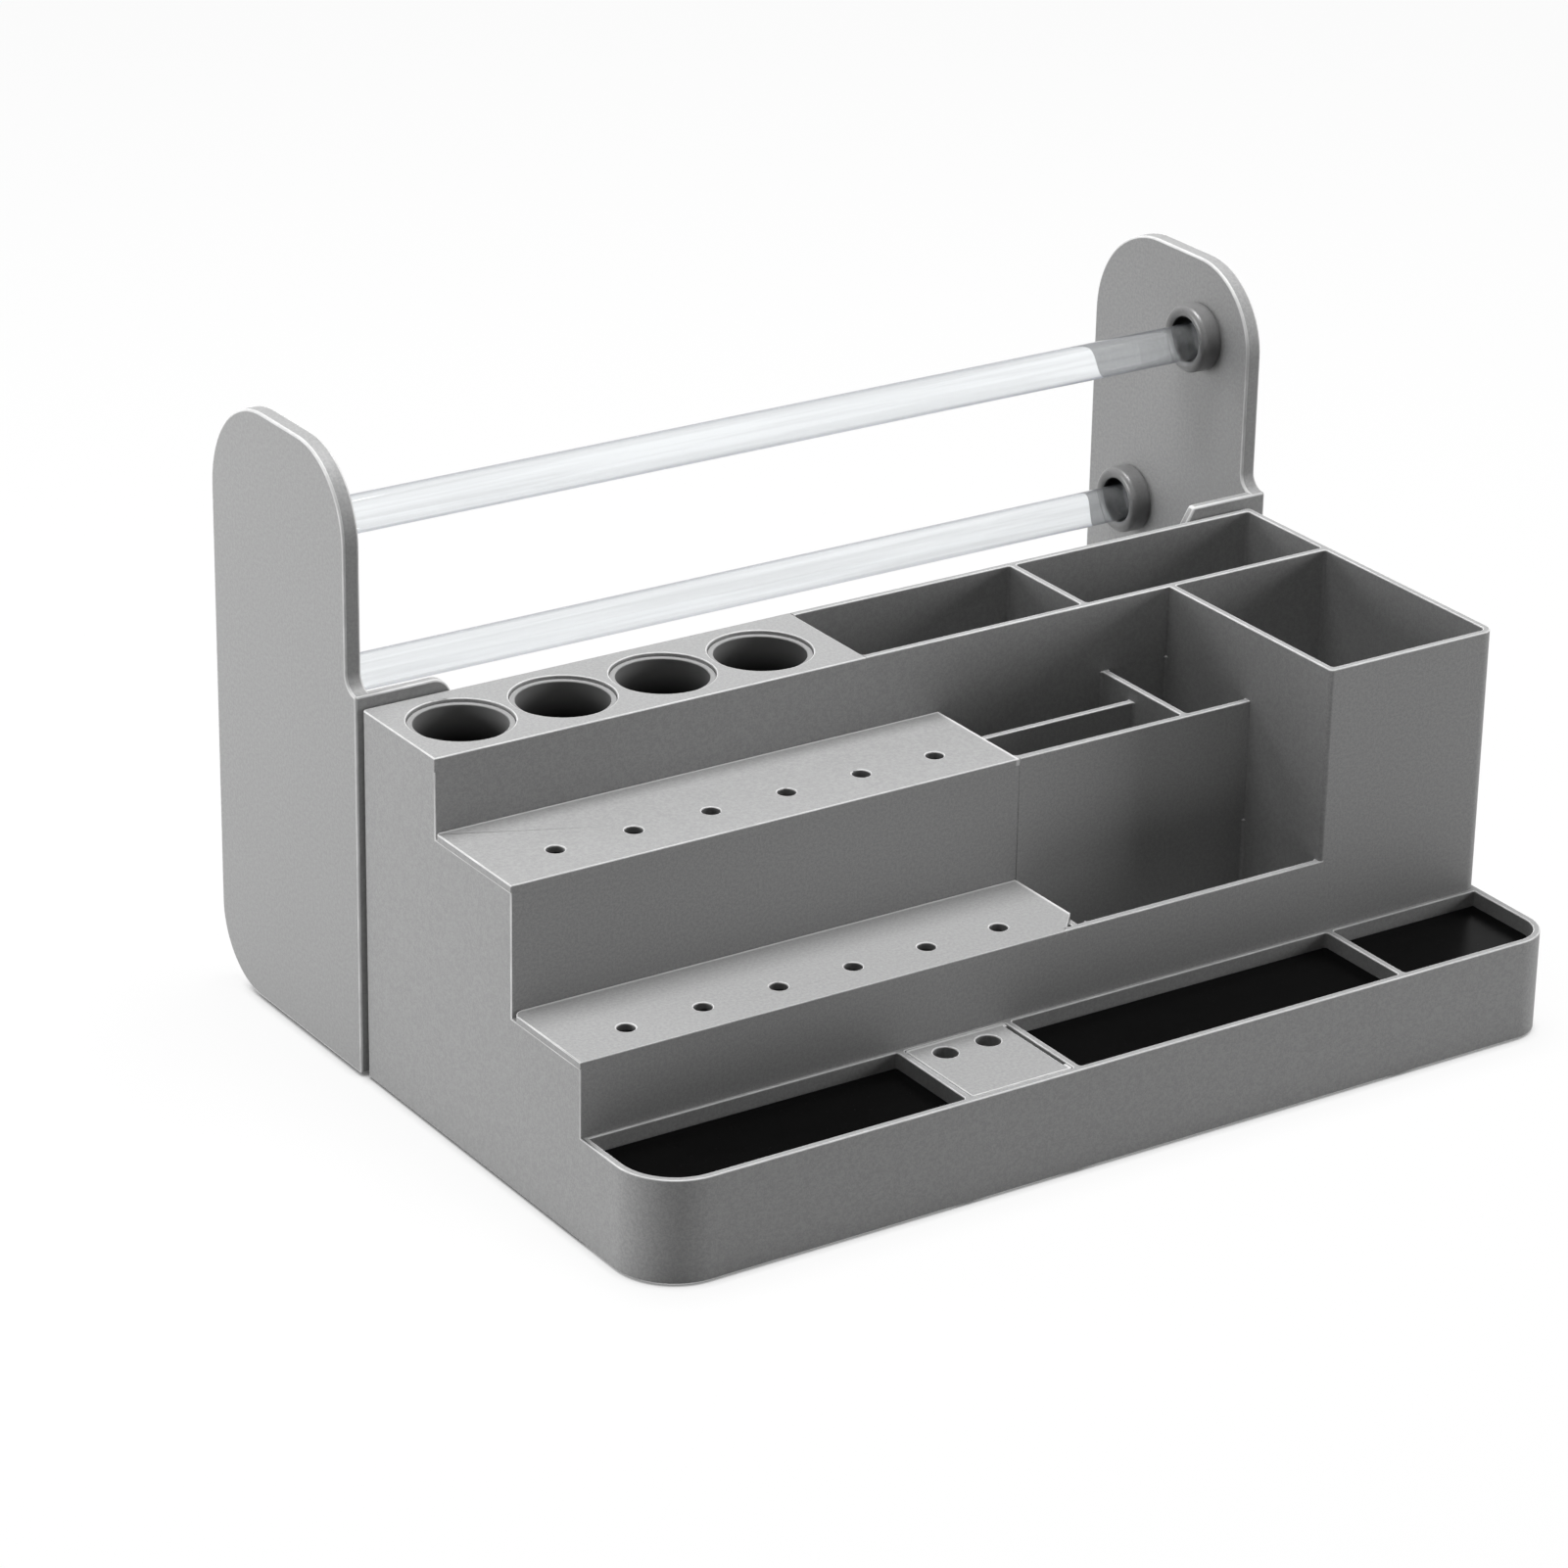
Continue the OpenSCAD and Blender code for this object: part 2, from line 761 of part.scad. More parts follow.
// pan head screw, turned, pointing along its own +Z from under the head
module pan_screw() {
  r = head_d / 2;
  rotate_extrude($fn = 48)
    polygon([[0, -head_h], [0.5 * r, -head_h], [0.86 * r, -0.78 * head_h], [r, -0.4 * head_h],
      [r, 0], [screw_d / 2, 0], [screw_d / 2, screw_len - 0.4], [screw_d / 2 - 0.4, screw_len],
      [0, screw_len]]);
}

// cross recess in the head
module cross_recess() {
  for (a = [0, 90])
    rotate([0, 0, a])
      translate([-0.28 * head_d, -0.25, -head_h - over])
        cube([0.56 * head_d, 0.5, over + 0.45 * head_h]);
}

// four screws, driven from inside the reel tray
module stand_screws() {
  color(steel_col)
    for (y = screw_y)
      for (m = [0, 1])
        mirror([m, 0, 0])
          translate([rt_x - reel_tray_t, y, screw_z])
            rotate([0, 90, 0])
              difference() {
                pan_screw();
                cross_recess();
              }
}

module stand_feet() {
  color(rubber_col)
    for (p = stand_foot_xy)
      foot(p);
}

// loose bush for a rod end, turned: full round nose, spigot at the back
module collar(side, in, z) {
  bore = socket_d / 2;
  w = collar_wall;
  color(collar_col)
    translate([side * (sx - frame_t), y_back + in, z])
      rotate([0, side < 0 ? 90 : -90, 0])
        rotate_extrude($fn = 64) {
          translate([bore, 0])
            square([w, collar_out - w / 2]);
          translate([bore + w / 2, collar_out - w / 2])
            circle(d = w, $fn = 32);
          translate([bore, -spigot_h])
            square([spigot_wall, spigot_h + eps]);
        }
}

module upper_left_collar() {
  collar(-1, upper_rod_in, upper_rod_z);
}

module upper_right_collar() {
  collar(1, upper_rod_in, upper_rod_z);
}

module lower_left_collar() {
  collar(-1, lower_rod_in, lower_rod_z);
}

module lower_right_collar() {
  collar(1, lower_rod_in, lower_rod_z);
}

// clear rod, turned, with bevelled ends
module rod(in, z) {
  r = rod_d / 2;
  c = rod_bevel;
  color(rod_col)
    translate([-rod_len / 2, y_back + in, z - rod_drop])
      rotate([0, 90, 0])
        rotate_extrude($fn = 64)
          polygon([[0, 0], [r - c, 0], [r, c], [r, rod_len - c], [r - c, rod_len], [0, rod_len]]);
}

module upper_rod() {
  rod(upper_rod_in, upper_rod_z);
}

module lower_rod() {
  rod(lower_rod_in, lower_rod_z);
}

housing();
upper_rack_plate();
lower_rack_plate();
bit_plate();
cup_deck();
driver_cup_1();
driver_cup_2();
driver_cup_3();
driver_cup_4();
tray_pad_left();
tray_pad_middle();
tray_pad_right();
housing_feet();
end_frame_left();
end_frame_right();
reel_tray();
stand_screws();
stand_feet();
upper_left_collar();
upper_right_collar();
lower_left_collar();
lower_right_collar();
upper_rod();
lower_rod();
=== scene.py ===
import math

import bmesh
import bpy
from mathutils import Matrix, Vector


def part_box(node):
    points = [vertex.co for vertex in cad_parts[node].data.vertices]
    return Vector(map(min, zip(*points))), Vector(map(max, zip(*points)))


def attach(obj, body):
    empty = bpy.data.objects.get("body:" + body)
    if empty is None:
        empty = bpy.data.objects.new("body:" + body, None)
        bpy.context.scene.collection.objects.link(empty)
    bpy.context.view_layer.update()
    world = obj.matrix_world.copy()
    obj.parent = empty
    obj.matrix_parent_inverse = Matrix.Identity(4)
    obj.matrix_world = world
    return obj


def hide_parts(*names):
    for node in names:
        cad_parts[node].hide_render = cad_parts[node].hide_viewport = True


bl_info = {
    "name": "Bench screwdriver holder",
    "version": (1, 0, 0),
    "blender": (4, 5, 0),
    "location": "3D View > Sidebar > Driver holder",
    "description": "Dresses a stepped driver holder and its reel stand around their packed frame",
    "category": "Object",
}

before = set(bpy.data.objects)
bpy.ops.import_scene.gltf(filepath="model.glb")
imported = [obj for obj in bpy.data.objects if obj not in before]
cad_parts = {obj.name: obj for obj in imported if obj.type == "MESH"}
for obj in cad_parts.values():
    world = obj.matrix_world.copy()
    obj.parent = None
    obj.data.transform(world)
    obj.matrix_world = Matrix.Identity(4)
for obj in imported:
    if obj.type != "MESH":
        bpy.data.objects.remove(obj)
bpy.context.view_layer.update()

# Steps round a turned piece
LATHE_STEPS = 96
# How far below a node's top an edge still counts as part of its rim, in metres
RIM_SLACK = 0.0004
# How far a plate's seat line may be off and still be taken for it, in metres
SEAT_SLACK = 0.0003
# Nodes of the loose and fixed plates, each with a painted highlight band at its back and right end
PLATES = ("upper_rack_plate", "lower_rack_plate", "bit_plate")
# Roughness and grain of the moulded plastic
MOULD_ROUGHNESS = 0.46
MOULD_GRAIN = 0.30
# Width of the picture and focal length of the camera, both in pixels
PICTURE_WIDTH = 1601
FOCAL_LENGTH = 5563.1
# Finishes that are already made
FINISHES = {}


class Value:
    """A number in a node tree. Sums and products of it add Math nodes."""

    def __init__(self, tree, socket):
        self.tree = tree
        self.socket = socket

    def _math(self, operation, a, b):
        node = self.tree.add("ShaderNodeMath", {"operation": operation}, {0: a, 1: b})
        return Value(self.tree, node.outputs[0])

    def __add__(self, other):
        return self._math("ADD", self, other)

    def __radd__(self, other):
        return self._math("ADD", other, self)

    def __sub__(self, other):
        return self._math("SUBTRACT", self, other)

    def __rsub__(self, other):
        return self._math("SUBTRACT", other, self)

    def __mul__(self, other):
        return self._math("MULTIPLY", self, other)

    def __rmul__(self, other):
        return self._math("MULTIPLY", other, self)

    def __truediv__(self, other):
        return self._math("DIVIDE", self, other)

    def at_most(self, other):
        return self._math("MINIMUM", self, other)

    def sign(self):
        return self._math("SIGN", self, 0.0)


class Tree:
    """A node tree that starts empty and is filled in node by node."""

    def __init__(self, tree):
        self.tree = tree
        tree.nodes.clear()

    def join(self, socket, value):
        """Sets a socket from a number, a colour, a Value or another socket."""
        if isinstance(value, Value):
            value = value.socket
        if isinstance(value, bpy.types.NodeSocket):
            self.tree.links.new(value, socket)
        else:
            socket.default_value = value

    def add(self, kind, settings=None, sockets=None):
        """Adds a node: its settings first, then the values or links of its sockets."""
        node = self.tree.nodes.new(kind)
        for key, value in (settings or {}).items():
            setattr(node, key, value)
        for key, value in (sockets or {}).items():
            for part in value if isinstance(value, list) else [value]:
                self.join(node.inputs[key], part)
        return node


class Recipe(Tree):
    """A material with one Principled surface."""

    def __init__(self, name):
        self.material = bpy.data.materials.new(name)
        self.material.use_nodes = True
        super().__init__(self.material.node_tree)
        self.output = self.add("ShaderNodeOutputMaterial")
        self.surface = self.add("ShaderNodeBsdfPrincipled")
        self.join(self.output.inputs["Surface"], self.surface.outputs[0])
        self.place = self.add("ShaderNodeTexCoord").outputs["Object"]

    def look(self, **values):
        """Joins values to the surface, with a blank written as an underscore in a name."""
        for name, value in values.items():
            self.join(self.surface.inputs[name.replace("_", " ")], value)

    def noise(self, scale, detail=2.0, rough=0.5, stretch=(1, 1, 1), offset=(0, 0, 0)):
        """Soft noise from 0 to 1, in spots of 1/scale metres."""
        where = self.add(
            "ShaderNodeMapping",
            {"vector_type": "POINT"},
            {"Vector": self.place, "Location": offset, "Scale": stretch},
        )
        node = self.add(
            "ShaderNodeTexNoise",
            {"noise_dimensions": "3D"},
            {"Vector": where.outputs[0], "Scale": scale, "Detail": detail, "Roughness": rough},
        )
        return Value(self, node.outputs[0])

    def cells(self, scale):
        """Distance to the nearest of many scattered points, as on a spark-eroded skin."""
        node = self.add(
            "ShaderNodeTexVoronoi",
            {"feature": "F1"},
            {"Vector": self.place, "Scale": scale},
        )
        return Value(self, node.outputs["Distance"])

    def band(self, value, low, high):
        """0 below low and 1 above high, with a smooth step between."""
        node = self.add(
            "ShaderNodeMapRange",
            {"interpolation_type": "SMOOTHSTEP", "clamp": True},
            {"Value": value, "From Min": low, "From Max": high, "To Min": 0.0, "To Max": 1.0},
        )
        return Value(self, node.outputs[0])

    def along(self, axis):
        """Place along one axis, in metres."""
        return Value(self, self.add("ShaderNodeSeparateXYZ", None, {0: self.place}).outputs[axis])

    def mark(self, name):
        """A mark that the mesh carries, such as where an edge is rounded."""
        return Value(self, self.add("ShaderNodeAttribute", {"attribute_name": name}).outputs["Fac"])

    def blend(self, mask, a, b):
        """Colour a where the mask is 0 and b where it is 1."""
        node = self.add(
            "ShaderNodeMix",
            {"data_type": "RGBA", "blend_type": "MIX"},
            {"Factor": mask, 6: a, 7: b},
        )
        return node.outputs[2]

    def bump(self, height, strength, distance):
        """Surface normal moved by a height."""
        node = self.add(
            "ShaderNodeBump", None, {"Strength": strength, "Distance": distance, "Height": height}
        )
        return node.outputs[0]


def tone(level, tint=(1.0, 1.0, 1.0)):
    """A colour of that brightness with a slight tint."""
    return tuple(min(1.0, level * t) for t in tint) + (1.0,)


def moulded_plastic(name, level, shift, highlight_plate=None, lip=0.0):
    """Matt moulded plastic: spark-eroded skin, faint flow clouds, edges rubbed smoother, with
    painted highlights that make the rounded edges and a plate's back and right end paler.
    """
    recipe = Recipe(name)
    cloud = recipe.noise(11.0, 3.0, 0.55, offset=(shift, 0.3 * shift, 0.1))
    fine = recipe.noise(2000.0, 3.0, 0.65, offset=(shift, shift, 0))
    coarse = recipe.noise(1000.0, 2.0, 0.5, offset=(0, shift, shift))
    skin = recipe.cells(1250.0)
    dust = recipe.band(recipe.noise(240.0, 5.0, 0.7, offset=(shift, 0, 0)), 0.64, 0.78)
    rubbed_and_sheen = recipe.band(recipe.noise(90.0, 3.0, 0.6, offset=(0, shift, 0)), 0.35, 0.7)
    edge = recipe.mark("rim")
    spots = recipe.band(0.5 * fine + 0.5 * coarse, 0.34, 0.66)
    colour = recipe.blend(cloud, tone(level * 0.95), tone(level * 1.05, (0.997, 1.0, 1.003)))
    colour = recipe.blend(spots * 0.22, colour, tone(level * 1.5))
    colour = recipe.blend((1.0 - spots) * 0.20, colour, tone(level * 0.5))
    colour = recipe.blend(dust * 0.05, colour, tone(level * 1.5))
    # Painted highlight: a paler band along the back and right end of a plate, where its rounded
    # edge catches the light.
    if highlight_plate:
        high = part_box(highlight_plate)[1]
        inside = (high.x - recipe.along("X")).at_most(high.y - recipe.along("Y"))
        pale = 1.0 - recipe.band(inside, lip, 1.4 * lip)
        colour = recipe.blend(pale, colour, tone(level * 1.9))
    # Painted highlight: the rounded edges are painted much paler, stronger where the rubbed noise
    # is high, standing in for the light they catch.
    colour = recipe.blend(edge * (0.6 + 0.3 * rubbed_and_sheen), colour, tone(level * 2.3))
    recipe.look(
        Base_Color=colour,
        Roughness=MOULD_ROUGHNESS + 0.09 * fine - 0.12 * edge * rubbed_and_sheen + 0.05 * dust,
        Specular_IOR_Level=0.42,
        Normal=recipe.bump(0.5 * fine + 0.3 * coarse + 0.4 * skin, MOULD_GRAIN, 0.00007),
    )
    return recipe.material


def deep_cup(name, level, bore_shade_tone, top):
    """Satin plastic of the cups, light at the rim and painted dark down the bore as painted shade.
    """
    recipe = Recipe(name)
    fine = recipe.noise(1500.0, 3.0, 0.65)
    cloud = recipe.noise(30.0, 3.0, 0.55)
    # Painted shade: the colour fades to nearly black from 1.5 mm to 12 mm below the rim, where the
    # bore lies in shadow.
    light = recipe.band(recipe.along("Z"), top - 0.012, top - 0.0015)
    colour = recipe.blend((0.5 * fine + 0.5 * cloud) * 0.3, tone(level), tone(level * 1.3))
    recipe.look(
        Base_Color=recipe.blend(light, tone(bore_shade_tone), colour),
        Roughness=0.42 + 0.10 * fine,
        Specular_IOR_Level=0.16,
        Normal=recipe.bump(fine, 0.12, 0.00006),
    )
    return recipe.material


def painted_bore_shade_plastic(name, level):
    """Satin collar plastic, painted nearly black inside the bore that the rod end sits in, as
    painted shade.
    """
    recipe = Recipe(name)
    fine = recipe.noise(1300.0, 3.0, 0.65)
    cloud = recipe.noise(45.0, 3.0, 0.55)
    rubbed_and_sheen = recipe.band(recipe.noise(160.0, 3.0, 0.6), 0.45, 0.75)
    colour = recipe.blend(0.6 * fine + 0.4 * cloud, tone(level * 0.8), tone(level * 1.25))
    colour = recipe.blend(rubbed_and_sheen * 0.15, colour, tone(level * 1.8))
    recipe.look(
        # Painted shade: the bore faces are painted nearly black, where the hole lies in shadow.
        Base_Color=recipe.blend(recipe.mark("bore"), colour, tone(0.006)),
        Roughness=0.24 + 0.10 * fine + 0.08 * rubbed_and_sheen,
        Specular_IOR_Level=0.5,
        Normal=recipe.bump(fine, 0.08, 0.00006),
    )
    return recipe.material


def black_pad(name):
    """Polished black insert with a faint film of handling marks."""
    recipe = Recipe(name)
    smear = recipe.noise(60.0, 4.0, 0.6, stretch=(1.0, 2.4, 1.0))
    speck = recipe.band(recipe.noise(900.0, 3.0, 0.7), 0.66, 0.76)
    edge = recipe.mark("rim")
    colour = recipe.blend((0.25 * smear + 0.5 * speck).at_most(1.0), tone(0.0008), tone(0.005))
    recipe.look(
        Base_Color=recipe.blend(edge * 0.5, colour, tone(0.012)),
        Roughness=0.20 + 0.10 * smear + 0.12 * speck,
        Specular_IOR_Level=0.04,
        Normal=recipe.bump(recipe.noise(45.0, 2.0), 0.10, 0.0002),
    )
    return recipe.material


def soft_rubber(name):
    """Dark rubber with a dry, slightly dusty skin."""
    recipe = Recipe(name)
    bloom = recipe.noise(180.0, 4.0, 0.6)
    dust = recipe.band(recipe.noise(420.0, 3.0, 0.6), 0.55, 0.75)
    colour = recipe.blend(bloom * 0.6, tone(0.018), tone(0.05))
    recipe.look(
        Base_Color=recipe.blend(dust * 0.25, colour, tone(0.08)),
        Roughness=0.70 + 0.20 * bloom,
        Normal=recipe.bump(recipe.noise(1400.0, 2.0), 0.3, 0.0001),
    )
    return recipe.material


def clear_rod(name, tint):
    """Clear extruded acrylic with faint drawing lines along the rod. Its colour also carries
    painted bands and a painted darker limb for the refraction shade.
    """
    recipe = Recipe(name)
    lines = recipe.noise(420.0, 2.0, 0.5, stretch=(0.02, 1.0, 1.0))
    scuff = recipe.band(recipe.noise(130.0, 4.0, 0.65), 0.60, 0.80)
    clear = tone(0.95, (1.0 - tint, 1.0 - 0.4 * tint, 1.0))
    # Partly real and partly painted: the drawing lines are also painted as grey bands that stand in
    # for the refraction streaks.
    line_and_painted_band = recipe.band(lines, 0.46, 0.60)
    colour = recipe.blend(line_and_painted_band * 0.8, clear, tone(0.80, (1.0 - tint, 1.0 - 0.4 * tint, 1.0)))
    # Painted shade: the colour turns a darker blue grey where the rod is seen edge-on.
    painted_limb_shade = recipe.add("ShaderNodeLayerWeight", None, {"Blend": 0.35}).outputs["Facing"]
    colour = recipe.blend(recipe.band(painted_limb_shade, 0.28, 0.60), colour, tone(0.42, (0.93, 0.97, 1.08)))
    recipe.look(
        Base_Color=recipe.blend(scuff * 0.1, colour, tone(0.9)),
        Roughness=0.015 + 0.02 * lines + 0.03 * scuff,
        Normal=recipe.bump(lines, 0.12, 0.0002),
        IOR=1.05,
        Transmission_Weight=0.94,
        Coat_Weight=0.95,
        Coat_Roughness=0.03,
        Coat_IOR=1.6,
    )
    return recipe.material


def zinc_plate(name):
    """Zinc plated steel with turning marks and dull patches."""
    recipe = Recipe(name)
    turned_marks = recipe.noise(900.0, 2.0, 0.5, stretch=(0.2, 1.0, 1.0))
    dull = recipe.noise(240.0, 3.0)
    recipe.look(
        Base_Color=recipe.blend(dull, tone(0.48), tone(0.66, (1, 0.99, 0.97))),
        Metallic=1.0,
        Roughness=0.26 + 0.2 * dull,
        Normal=recipe.bump(turned_marks, 0.2, 0.00005),
    )
    return recipe.material


def finish(key):
    """The material of one finish, made when it is first asked for."""
    if key not in FINISHES:
        looks = bpy.context.scene.holder_looks
        # A plate's material carries the painted highlight band at its back and right end.
        if key in PLATES:
            made = moulded_plastic(key + "_plastic", looks.grey * 1.03, 1.9, key, looks.lip)
        elif key == "body":
            made = moulded_plastic("body_plastic", looks.grey, 0.0)
        elif key == "frame":
            made = moulded_plastic("frame_plastic", looks.grey, 0.7)
        elif key == "cup":
            # 0.006 is the nearly black painted shade tone down the cup bores.
            made = deep_cup("cup_plastic", looks.cup_grey, 0.006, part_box("driver_cup_1")[1].z)
        elif key == "collar":
            made = painted_bore_shade_plastic("collar_plastic", looks.collar_grey)
        elif key == "pad":
            made = black_pad("pad_black")
        elif key == "rubber":
            made = soft_rubber("foot_rubber")
        elif key == "rod":
            made = clear_rod("rod_acrylic", looks.rod_tint)
        else:
            made = zinc_plate("screw_zinc")
        FINISHES[key] = made
    return FINISHES[key]


def settle(piece):
    """Turns the evaluated piece into its plain mesh and removes its modifiers."""
    graph = bpy.context.evaluated_depsgraph_get()
    settled = bpy.data.meshes.new_from_object(piece.evaluated_get(graph))
    old = piece.data
    piece.modifiers.clear()
    piece.data = settled
    settled.name = piece.name
    if old.users == 0:
        bpy.data.meshes.remove(old)
    return piece


def close_mesh(bm, name, material, smooth_deg=32.0):
    """Makes an object at the origin from a bmesh, with flat faces kept flat and curves smooth."""
    mesh = bpy.data.meshes.new(name)
    bm.to_mesh(mesh)
    bm.free()
    piece = bpy.data.objects.new(name, mesh)
    bpy.context.scene.collection.objects.link(piece)
    mesh.materials.append(material)
    mesh.shade_smooth()
    mesh.set_sharp_from_angle(angle=math.radians(smooth_deg))
    weigh = piece.modifiers.new("even_light", "WEIGHTED_NORMAL")
    weigh.keep_sharp = True
    weigh.weight = 50
    return settle(piece)


def hand_over(piece, node, body):
    """Lets a piece ride with a body and stand for a node of the frame."""
    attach(piece, body)
    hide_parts(node)


def frame_copy(node):
    """Welded copy of a node's surface with its flat faces merged."""
    bm = bmesh.new()
    bm.from_mesh(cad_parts[node].data)
    bmesh.ops.remove_doubles(bm, verts=bm.verts, dist=2e-6)
    bmesh.ops.dissolve_degenerate(bm, edges=bm.edges, dist=1e-6)
    bmesh.ops.dissolve_limit(bm, angle_limit=math.radians(0.4), verts=bm.verts, edges=bm.edges)
    bm.normal_update()
    return bm


def soften(bm, width, wanted):
    """Rounds the outward edges that wanted() accepts and marks the new faces."""
    rim = bm.faces.layers.float.new("rim")
    picked = [
        edge
        for edge in bm.edges
        if len(edge.link_faces) == 2
        and edge.is_convex
        and edge.calc_face_angle(0.0) > math.radians(40)
        and wanted((edge.verts[0].co + edge.verts[1].co) / 2, edge)
    ]
    made = bmesh.ops.bevel(
        bm,
        geom=picked,
        offset=width,
        offset_type="OFFSET",
        segments=3,
        profile=0.5,
        affect="EDGES",
        clamp_overlap=False,
        loop_slide=True,
        miter_outer="SHARP",
        miter_inner="SHARP",
    )
    for face in made["faces"]:
        face[rim] = 1.0
    return len(picked)


def scribe(bm, place, across):
    """Cuts a line round the form, so that a soft edge has an edge to end on."""
    everything = bm.verts[:] + bm.edges[:] + bm.faces[:]
    bmesh.ops.bisect_plane(bm, geom=everything, dist=1e-7, plane_co=place, plane_no=across)


def dress(node, name, body, key, width, wanted, lines=()):
    """A piece with the node's form and soft edges that stands for the node."""
    bm = frame_copy(node)
    for place, across in lines:
        scribe(bm, place, across)
    count = soften(bm, width, wanted)
    piece = close_mesh(bm, name, finish(key))
    print("piece", name, "soft edges", count, "faces", len(piece.data.polygons))
    hand_over(piece, node, body)


def top_only(node):
    """Accepts the edges round the top face of a node."""
    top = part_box(node)[1].z
    return lambda middle, edge: min(v.co.z for v in edge.verts) > top - RIM_SLACK


def turned(profile, axis, centre):
    """Closed lathe form from (radius, distance along the axis) pairs, last joined to first."""
    bm = bmesh.new()
    turn = Vector((0, 0, 1)).rotation_difference(Vector(axis)).to_matrix()
    rings = []
    for i in range(LATHE_STEPS):
        angle = 2 * math.pi * i / LATHE_STEPS
        spoke = [Vector((r * math.cos(angle), r * math.sin(angle), h)) for r, h in profile]
        rings.append([bm.verts.new(turn @ point + Vector(centre)) for point in spoke])
    for i in range(LATHE_STEPS):
        here, there = rings[i], rings[(i + 1) % LATHE_STEPS]
        for j in range(len(profile)):
            k = (j + 1) % len(profile)
            bm.faces.new((here[j], there[j], there[k], here[k]))
    bmesh.ops.remove_doubles(bm, verts=bm.verts, dist=1e-7)
    bare = [edge for edge in bm.edges if not edge.link_faces]
    bmesh.ops.delete(bm, geom=bare, context="EDGES")
    bmesh.ops.recalc_face_normals(bm, faces=bm.faces)
    return bm


def quarter(centre, radius, start_deg, steps=4):
    """Points of a quarter turn round a centre in a lathe profile, anticlockwise."""
    turns = [math.radians(start_deg + 90 * i / steps) for i in range(steps + 1)]
    return [(centre[0] + radius * math.cos(t), centre[1] + radius * math.sin(t)) for t in turns]


def separate_boxes(node):
    """Lowest and highest corner of each separate solid of a node."""
    bm = frame_copy(node)
    boxes, seen = [], set()
    for seed in bm.verts:
        if seed in seen:
            continue
        group, wave = {seed}, [seed]
        while wave:
            vert = wave.pop()
            for edge in vert.link_edges:
                other = edge.other_vert(vert)
                if other not in group:
                    group.add(other)
                    wave.append(other)
        seen |= group
        points = [vert.co for vert in group]
        low = Vector([min(p[k] for p in points) for k in range(3)])
        high = Vector([max(p[k] for p in points) for k in range(3)])
        boxes.append((low, high))
    bm.free()
    return boxes


class FastenerTree(Tree):
    """Geometry nodes that put one turned part on every point, with named sizes."""

    def __init__(self, name, sizes):
        super().__init__(bpy.data.node_groups.new(name, "GeometryNodeTree"))
        shape = "NodeSocketGeometry"
        face = self.tree.interface
        face.new_socket("Geometry", in_out="INPUT", socket_type=shape)
        face.new_socket("Geometry", in_out="OUTPUT", socket_type=shape)
        self.sizes = {}
        for label, value in sizes.items():
            kind = "NodeSocketInt" if isinstance(value, int) else "NodeSocketFloat"
            self.sizes[label] = face.new_socket(label, in_out="INPUT", socket_type=kind)
            self.sizes[label].default_value = value
        self.given = self.add("NodeGroupInput")
        self.result = self.add("NodeGroupOutput")

    def size(self, label):
        """One of the named sizes."""
        return Value(self, self.given.outputs[label])

    def turn(self, profile, steps):
        """Closed turned form: a disc is drawn up and scaled from ring to ring."""
        disc = self.add(
            "GeometryNodeMeshCircle",
            {"fill_type": "NGON"},
            {"Vertices": steps, "Radius": profile[0][0]},
        )
        start = self.shift(disc, profile[0][1])
        under = self.add("GeometryNodeFlipFaces", None, {"Mesh": start.outputs[0]})
        mesh, top, last = start.outputs[0], True, profile[0]
        for ring in profile[1:]:
            rise, widen = ring[1] - last[1], ring[0] / last[0]
            drawn = self.add(
                "GeometryNodeExtrudeMesh",
                {"mode": "FACES"},
                {"Mesh": mesh, "Selection": top, "Offset Scale": rise, "Individual": False},
            )
            top, last = drawn.outputs["Top"], ring
            spread = self.add(
                "GeometryNodeScaleElements",
                {"domain": "FACE"},
                {"Geometry": drawn.outputs[0], "Selection": top, "Scale": widen},
            )
            mesh = spread.outputs[0]
        both = self.add("GeometryNodeJoinGeometry", None, {0: [mesh, under.outputs[0]]})
        closed = self.add(
            "GeometryNodeMergeByDistance", None, {0: both.outputs[0], "Distance": 1e-6}
        )
        return closed.outputs[0]

    def shift(self, part, rise):
        """Moves a part up."""
        lift = self.add("ShaderNodeCombineXYZ", None, {"Z": rise})
        return self.add(
            "GeometryNodeTransform",
            None,
            {"Geometry": part.outputs[0], "Translation": lift.outputs[0]},
        )

    def cut(self, solid, blade):
        """Takes a blade's form out of a solid."""
        node = self.add(
            "GeometryNodeMeshBoolean",
            {"operation": "DIFFERENCE", "solver": "EXACT"},
            {"Mesh 1": solid, "Mesh 2": blade.outputs[0]},
        )
        return node.outputs[0]

    def place(self, part, material, rotation=(0.0, 0.0, 0.0)):
        """Ends the tree: the part on every point, made real, with its material."""
        spread = self.add(
            "GeometryNodeInstanceOnPoints",
            None,
            {"Points": self.given.outputs["Geometry"], "Instance": part, "Rotation": rotation},
        )
        real = self.add("GeometryNodeRealizeInstances", None, {0: spread.outputs[0]})
        dyed = self.add("GeometryNodeSetMaterial", None, {0: real.outputs[0], "Material": material})
        self.join(self.result.inputs[0], dyed.outputs[0])

    def run(self, points, name, sizes):
        """Plain mesh of the part on the given points, in the given sizes."""
        mesh = bpy.data.meshes.new(name)
        mesh.from_pydata([tuple(p) for p in points], [], [])
        piece = bpy.data.objects.new(name, mesh)
        bpy.context.scene.collection.objects.link(piece)
        nodes = piece.modifiers.new("fasteners", "NODES")
        nodes.node_group = self.tree
        for label, value in sizes.items():
            nodes[self.sizes[label].identifier] = value
        settle(piece)
        piece.data.shade_smooth()
        piece.data.set_sharp_from_angle(angle=math.radians(35))
        if not piece.data.polygons:
            raise RuntimeError(name + " came out empty")
        return piece


